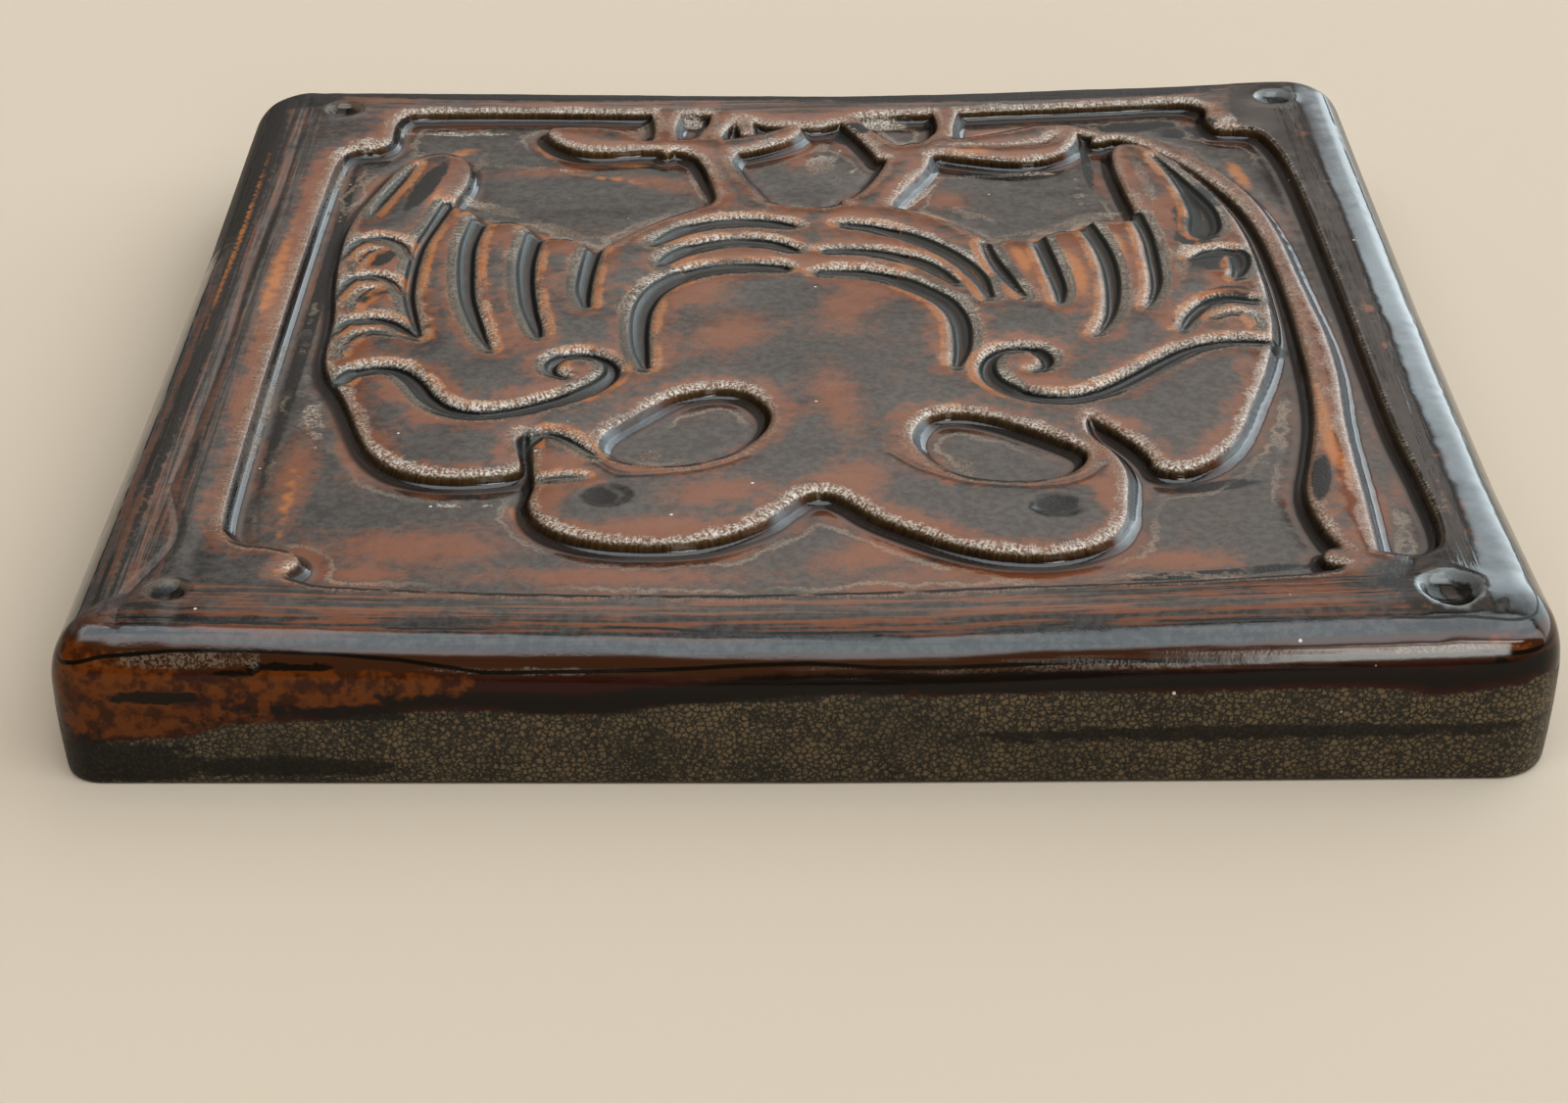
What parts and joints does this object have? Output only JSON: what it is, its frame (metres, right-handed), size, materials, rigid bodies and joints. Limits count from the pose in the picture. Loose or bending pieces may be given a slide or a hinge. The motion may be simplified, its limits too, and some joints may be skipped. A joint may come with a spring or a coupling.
{
  "type": "art pottery tile",
  "caption": "Thick square glazed pottery tile with a raised border and a sunk panel holding a double-headed eagle in relief.",
  "frame": {"origin": "centre of the tile's bounding box, on the plane of its underside", "axes": "+Z out of the decorated face, -Y towards the side at the bottom of the picture, +X to the right in the picture"},
  "size_m": [0.2063, 0.2074, 0.0259],
  "materials": {
    "dark_glaze": "thick glossy iron-brown glaze, nearly black where it pools, breaking to tan on the crests"
  },
  "bodies": {
    "root": {"tile": "dark_glaze"}
  },
  "joints": []
}
